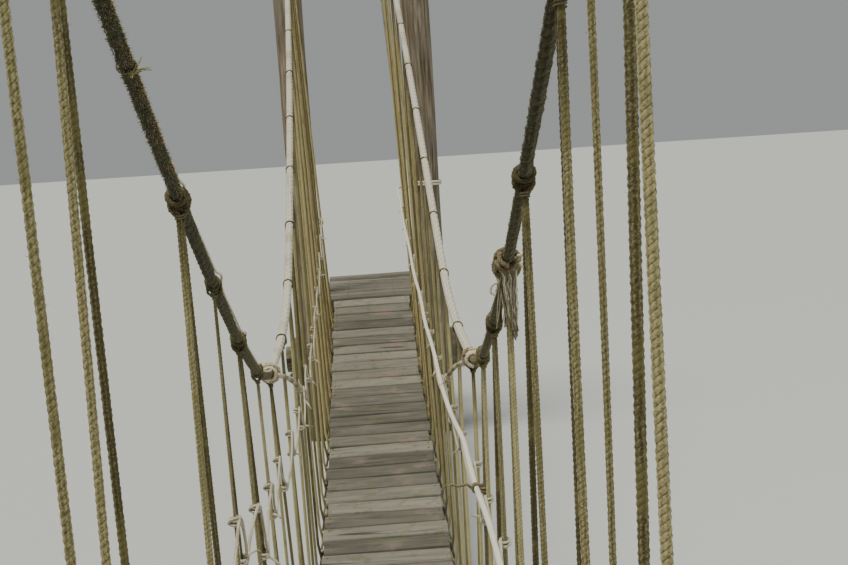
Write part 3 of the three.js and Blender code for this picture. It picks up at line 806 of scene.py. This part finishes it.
def log(start, end, radius, random, sides=28, notch=None):
    """A round log from start to end, with flat ends. Its radius swells in slow waves round and
    along it and at a few branch stubs. The tone is the share of the radius: 1 on the wall, and
    less inside the end faces."""
    start, end = np.asarray(start, float), np.asarray(end, float)
    span = np.linalg.norm(end - start)
    along = (end - start) / span
    out = unit(np.cross(along, Y if abs(along[1]) < 0.9 else X))
    over = np.cross(along, out)
    rim = np.array([0.08, 0.4, 0.72, 0.94, 1.0])
    wall = np.linspace(0.012, span - 0.012, max(6, round(span / 0.05)))
    at = np.concatenate([[0, 0, 0, 0, 0.004], wall, [span - 0.004, span, span, span, span]])
    share = np.concatenate([rim, np.ones(len(wall)), rim[::-1]])
    rim_loss = np.concatenate([[1, 1, 1, 1, 0.985], np.ones(len(wall)), [0.985, 1, 1, 1, 1]])
    angle = 2 * np.pi * np.arange(sides) / sides
    s, a = at[:, None], angle[None, :]
    swell = 0.0
    for waves in (1, 2, 3, 5):
        swell += 0.02 / waves * np.cos(waves * a + random.uniform(0, 6) + s * random.normal(0, 2))
    for _ in range(max(1, int(span * 1.5))):
        near = ((s - random.uniform(0, span)) / 0.05) ** 2
        round_near = (np.angle(np.exp(1j * (a - random.uniform(0, 6)))) * radius / 0.045) ** 2
        swell += 0.06 * np.exp(-near - round_near)
    reach = radius * 0.965 * (1 + swell) * (share * rim_loss)[:, None]
    reach = np.minimum(reach, radius)[..., None]
    a = a[..., None]
    grid = start + s[..., None] * along + reach * (np.cos(a) * out + np.sin(a) * over)
    if notch is not None:
        beam_y, beam_z, beam_r = notch
        depth = np.sqrt(np.maximum(beam_r ** 2 - (grid[..., 1] - beam_y) ** 2, 0))
        grid[..., 2] = np.where(depth > 0, np.minimum(grid[..., 2], beam_z - depth), grid[..., 2])
    return skin(grid, at + random.uniform(0, 30), share)


def log_material():
    """Barkless log: grey over brown, fine grain along it, long drying cracks, a green foot near
    the ground, and growth rings on the end faces."""
    material, uv, place, share = new_finish("log")
    grain = uv.stretched(34.0, 2.2).noise(1.0, 5.0, 0.4)
    fine = uv.stretched(110.0, 6.0).noise(1.0, 3.0, 0.4)
    crack = uv.stretched(9.0, 0.7).noise(1.0, 2.0, 0.4)
    cloud, spot = place.noise(3.0, 4.0), place.noise(22.0, 5.0)
    wall = grain.between(0.28, 0.72).mix((86, 72, 54), (156, 144, 122))
    wall = (cloud.between(0.45, 0.7) * 0.7).mix(wall, (120, 112, 98))
    wall = (fine.between(0.42, 0.62) * 0.4).mix(wall, (64, 54, 40))
    low = (1 - place.part(2).between(0.0, 0.7)) * spot.between(0.35, 0.6)
    wall = (low * 0.75).mix(wall, (66, 70, 38))
    split = 1 - crack.between(0.3, 0.335)
    wall = (split * 0.85).mix(wall, (34, 28, 20))
    rings = (share * 90.0 + spot * 4.0).maths("SINE") * 0.5 + 0.5
    face = (rings * 0.6 + cloud * 0.4).mix((120, 98, 68), (178, 158, 122))
    face = (share.between(0.82, 0.97) * 0.6).mix(face, (80, 66, 48))
    colour = share.between(0.985, 0.999).mix(face, wall)
    bump = grain * 0.4 + fine * 0.25 - split * 0.9 + spot * 0.15
    close_finish(colour, fine * 0.15 + 0.78, bump, 0.004)
    return material


def crosswise(half, y, z):
    """The two ends of a log that lies across the bridge."""
    return [-half, y, z], [half, y, z]


def sill_logs(end, random):
    """The frame under a landing: on two rows a pair of legs, a brace and a sill, and two bearers."""
    logs = []
    for y in SILL_YS:
        at = end * y
        logs.append(log(*crosswise(SILL_HALF, at, SILL_Z), SILL_R, random))
        logs.append(log(*crosswise(LEG_LOG_X, at, BRACE_Z), BRACE_R, random, 20))
        for side in (-1, 1):
            foot = [side * LEG_LOG_X, at, 0.0]
            logs.append(log(foot, [foot[0], at, SILL_Z - 0.02], LEG_R, random, 24))
    for side in (-1, 1):
        ends = [[side * BEARER_X, end * y, BEARER_Z] for y in (SILL_YS[0] - SILL_R, SILL_YS[1] + SILL_R)]
        logs.append(log(*ends, BEARER_R, random, 24))
    return logs


log_finish = log_material()
for end_name, end in ENDS:
    at = end * PORTAL_Y
    for side_name, side in ROPES:
        foot = np.array([side * POST_X, at, 0.0])
        notch = (at, HEAD_Z, HEAD_R)
        shape = log(foot, foot + [0, 0, HEAD_Z - NOTCH], POST_R, log_random, 36, notch)
        name = f"{end_name}_{side_name}"
        make_piece(f"portal_post_{name}", [shape], log_finish, "log", f"post_{name}")
    beam = log(*crosswise(HEAD_HALF, at, HEAD_Z), HEAD_R, log_random, 32)
    make_piece(f"portal_beam_{end_name}", [beam], log_finish, "log", f"head_beam_{end_name}")
    shapes = sill_logs(end, log_random)
    make_piece(f"landing_logs_{end_name}", shapes, log_finish, "log", f"landing_frame_{end_name}")
    tips = crosswise(ANCHOR_HALF, end * ANCHOR_Y, ANCHOR_Z)
    anchor = [log(*tips, ANCHOR_R, log_random, 36)]
    stake_y = end * (ANCHOR_Y - ANCHOR_R - STAKE_R + 0.004)
    for x in STAKE_XS:
        anchor.append(log([x, stake_y, 0], [x, stake_y, STAKE_HEIGHT], STAKE_R, log_random, 20))
    make_piece(f"anchor_logs_{end_name}", anchor, log_finish, "log", f"anchor_{end_name}")

# Lashings. Three loops tie each head beam to each post, cord wound on the beam on both sides of
# each main rope stops it sliding, and crossed turns tie the landings' sills to their legs.
LASH_R, LASH_LAY = 0.009, 0.05
STOP_R, STOP_LAY, STOP_TURNS, STOP_PITCH = 0.005, 0.035, 3.2, 0.0105


def post_loops(side, at):
    """Three closed loops, each over the beam beside the post, down its front, across the post
    below the beam, up again on the other side, and back the same way behind."""
    high, front = HEAD_R + LASH_R, POST_R + LASH_R
    loops = []
    for i in range(3):
        wide, low = 0.148 + 0.019 * i, 0.02 * i
        quarter = np.array([
            [-wide, 0, high], [-wide, -0.75 * high, 0.66 * high], [-wide, -high, 0],
            [-0.11 - low, -high - 0.02, -0.08 - low], [-0.05, -0.94 * front, -0.14 - low],
        ])
        middle = np.array([[0, -front, -0.155 - low]])
        half = np.vstack([quarter, middle, (quarter * [-1, 1, 1])[::-1]])
        loop = np.vstack([half, (half * [1, -1, 1])[::-1][1:]])
        loops.append(even(smooth(loop, 6) + [side * POST_X, at, HEAD_Z], 0.012))
    return loops


for end_name, end in ENDS:
    shapes = []
    for _, side in ROPES:
        at = end * PORTAL_Y
        for loop in post_loops(side, at):
            shapes.append(laid_rope(loop, LASH_R, LASH_LAY, 6, [0.3, 0.9, 0.2], 0.5))
        rope_x = rope_place(side, at)[0]
        for shift in (-0.04, 0.04):
            place = [rope_x + shift, at, HEAD_Z]
            turns = coil(place, X, -Z, HEAD_R + STOP_R, STOP_TURNS, STOP_PITCH, 30)
            shapes.append(laid_rope(even(turns, 0.013), STOP_R, STOP_LAY, 4, X, 0.6))
        for y in SILL_YS:
            place = [side * LEG_LOG_X, end * y, SILL_Z - 0.03]
            for lean in (-1, 1):
                axis, reach = X + lean * Z, SILL_R + STOP_R
                turns = coil(place, axis, Y, reach, STOP_TURNS, STOP_PITCH, 24, 1.35)
                shapes.append(laid_rope(even(turns, 0.013), STOP_R, STOP_LAY, 4, X + 0.1, 0.5))
    make_piece(f"lashings_{end_name}", shapes, hanger_finish, "hanger_rope")

# Foot ropes. One under each edge of the boards carries them, and is hitched round the first
# sill of both landings.
SILL_TURNS, SILL_PITCH = 2.3, 0.032


def foot_rope_path(side):
    """Round the near sill, along under the boards and round the far sill."""
    ys = np.linspace(-DECK_END + 0.03, DECK_END - 0.03, 120)
    wraps = []
    for end in (-1, 1):
        sill = [side * FOOT_ROPE_X, end * SILL_YS[0], SILL_Z]
        start = unit([0, -end * 0.6, 0.8])
        turns = -SILL_TURNS * end * side
        wrap = coil(sill, X * side, start, SILL_R + FOOT_ROPE_R, turns, SILL_PITCH, 24)
        wraps.append(wrap + X * side * SILL_PITCH * 1.15)
    return np.vstack([wraps[0][::-1], foot_place(side, ys), wraps[1]])


for side_name, side in ROPES:
    shape = plain_rope(foot_rope_path(side), FOOT_ROPE_R, 0.05, 8, X, 0.35)
    name = f"foot_rope_{side_name}"
    make_piece(f"under_rope_{side_name}", [shape], hanger_finish, "hanger_rope", name)

# Hand line. A smooth pale rope runs inside the right net a little above the lacing, with a round
# turn on both right posts.
HAND_R, HAND_HEIGHT, HAND_INSIDE, HAND_REACH = 0.01, 0.9, 0.028, 5.6
HAND_DIP, NET_FOOT_X, POST_TURNS, POST_PITCH = 0.008, 0.341, 2.2, 0.021


def hand_line_path():
    """Just inside the right net, at one height over the boards, and round both posts."""
    ys = np.linspace(-HAND_REACH, HAND_REACH, 200)
    share = HAND_HEIGHT / (rope_place(1, ys)[:, 2] - deck_top(ys))
    x = NET_FOOT_X + share * (rope_place(1, ys)[:, 0] - NET_FOOT_X) - HAND_INSIDE
    z = deck_top(ys) + HAND_HEIGHT - HAND_DIP * np.sin(np.pi * ys / 0.9) ** 2
    span = np.stack([x + 0.003 * np.sin(ys * 5.1), ys, z], 1)
    wraps = []
    for end in (-1, 1):
        post = [POST_X, end * PORTAL_Y, deck_top(HAND_REACH) + HAND_HEIGHT]
        turns = -POST_TURNS * end
        wraps.append(coil(post, Z, -X, POST_R + HAND_R, turns, POST_PITCH, 28))
    return np.vstack([wraps[0][::-1], span, wraps[1]])


shape = plain_rope(hand_line_path(), HAND_R, 0.04, 10, Z, 1.0)
make_piece("hand_line", [shape], pale_finish, "pale_rope", "hand_line_right")

# Knots. At both low points the new rope is tied to the old one in a bulky knot, and the old
# rope's tail hangs from it. The right rope has a second knot, loose and frayed, and its net a
# short tie to the hand line.
knot_random = np.random.default_rng(9)
# The third shade is painted shade in the valleys between the strands.
shades = (96, 80, 52), (212, 200, 166), (70, 59, 38), (110, 98, 60)
knot_finish = rope_finish("join_knot", shades, 0.0015, 0.09, 0.085, 6)
KNOT_R, JOIN_TONES = 0.008, (0.9, 0.95, 0.3, 0.7)
TAIL_R, TAIL_LAY = 0.0096, 0.07
TAIL = np.transpose([
    (0.024, 0.044, 0.056, 0.066, 0.07),
    (0.02, 0.13, 0.28, 0.42, 0.53),
    (-0.016, -0.05, -0.1, -0.155, -0.205),
])


def lump(centre, along, core, turns, radius, random):
    """A bulky knot: one layer of close turns round the rope and three crossing turns over it."""
    paths = [coil(centre, along, -Z, core + 0.8 * radius, turns, 2 * radius, 14)]
    for lean, start in ((0.7, X), (-0.8, -X), (0.2, X)):
        axis = unit(along + lean * Z + random.normal(0, 0.2, 3))
        reach = core + random.uniform(1.5, 2.1) * radius
        place = centre + random.uniform(-0.012, 0.012) * along
        paths.append(coil(place, axis, start, reach, random.uniform(1.1, 1.7), 2 * radius, 16))
    return [even(path, 0.0065) for path in paths]


for side_name, side in ROPES:
    centre = rope_place(side, SPLIT)
    paths = lump(centre, Y, NEW_R, 4.6, KNOT_R, knot_random)
    shapes = []
    for path, tone in zip(paths, JOIN_TONES):
        shapes.append(laid_rope(path, KNOT_R, 0.045, 6, Y + 0.1, tone))
    tail = even(smooth(TAIL * [-side, 1, 1] + centre), 0.008)
    tone = np.linspace(0.6, 0.4, len(tail)) + 0.2 * np.sin(length_along(tail) * 45)
    shapes.append(laid_rope(tail, TAIL_R, TAIL_LAY, 12, X, tone))
    last = unit(tail[-1] - tail[-12])
    end_knot = coil(tail[-8], last, X, 0.0132, 3.2, 0.0095, 14)
    shapes.append(laid_rope(even(end_knot, 0.007), LACING_R, 0.036, 6, Y, 0.8))
    shapes += fray(tail[-1], last, 14, 0.05, knot_random)
    make_piece(f"join_{side_name}", shapes, knot_finish, "pale_rope", f"join_knot_{side_name}")

ENDS_INSIDE, STRANDS_BELOW = 26, 90
side, k = FRAYED
centre = rope_place(side, station_y(side, k))
along = rope_direction(side, station_y(side, k))
paths = lump(centre - 0.034 * along, along, OLD_R, 1.7, 0.0075, knot_random)
paths += lump(centre + 0.024 * along, along, OLD_R, 2.4, 0.008, knot_random)
shapes = []
for path in paths:
    shapes.append(laid_rope(path, 0.0078, 0.04, 6, along + 0.1, knot_random.uniform(0.0, 0.42)))
for x, z in ((0.038, 0.028), (0.034, -0.002)):
    stub = hang(centre + [0.012, -0.03, 0.01], centre + [x, -0.052, z], [0, 0, 0.004], 6)
    shapes.append(laid_rope(stub, 0.006, 0.036, 6, Y, 0.95))
root = centre + [-0.014, 0, -0.02]
for _ in range(ENDS_INSIDE):
    tip = root + knot_random.normal(0, 0.012, 3) - [0, 0, 0.13]
    line = hang(root, tip, knot_random.normal(0, 0.004, 3), 5)
    shapes.append(strand(line, 0.001, 0.0022, 0.2, 1, knot_random))
make_piece("frayed_knot", shapes, knot_finish, "mossy_rope", "frayed_knot_right")

low = centre + 0.082 * along
wrap = coil(low, along, -Z, OLD_R + 0.003, 2.3, 0.0095, 14)
shapes = [laid_rope(even(wrap, 0.006), 0.0055, 0.036, 6, along + 0.1, 0.85)]
for _ in range(STRANDS_BELOW):
    inward, nearer = knot_random.uniform(-1, 1), knot_random.uniform(0, 1)
    root = centre + [0.018 * inward, -0.01 - 0.034 * nearer, -0.012]
    fall = np.array([0.06 - 0.08 * inward, 0.1 * nearer, -1])
    tip = root + fall * knot_random.uniform(0.11, 0.18)
    line = smooth([root, root + fall * 0.05, root + fall * 0.1, tip], 3)
    line += knot_random.normal(0, 0.0018, line.shape)
    shapes.append(strand(line, 0.001, 0.0026, -0.1, 0.9, knot_random))
curl = [[-0.012, 0.03, -0.02], [-0.03, 0.034, -0.03], [-0.034, 0.036, -0.048], [-0.022, 0.036, -0.056]]
shapes.append(plain_rope(smooth(low + curl, 6), 0.0044, STRAND_LAY, 6, Y, 1.1))
make_piece("frayed_strands", shapes, cord_finish, "mossy_rope")

TIE_Y, TIE_R = -0.47, 0.005
line = hand_line_path()
held = line[np.argmin(np.abs(line[:, 1] - TIE_Y) + (np.abs(line[:, 0]) > HALF_GAUGE))]
top, edge, bow = min(leg_lines[1], key=lambda leg: abs(leg[1][1] - TIE_Y))
t = (top[2] - held[2] - 0.01) / (top[2] - edge[2])
leg = slack_place(t, top, edge, bow)
round_leg = coil(leg, edge - top, -X, HANGER_R + TIE_R, 2.2, 0.011, 12)
round_line = coil(held, Y, X, HAND_R + TIE_R, 2.4, 0.011, 12)
loose = held + np.array([[-0.03, 0.01, 0.012], [-0.06, 0.015, 0.004], [-0.085, 0.01, 0.014]])
slack = hang(round_leg[-1], round_line[0], [0, 0, -0.012], 6)
path = np.vstack([round_leg, slack[1:-1], round_line, loose])
shapes = [laid_rope(even(path, 0.006), TIE_R, 0.032, 6, Z, 0.3)]
shapes += fray(loose[-1], np.array([-0.9, 0, 0.1]), 6, 0.03, knot_random)
make_piece("tie", shapes, knot_finish, "hanger_rope")
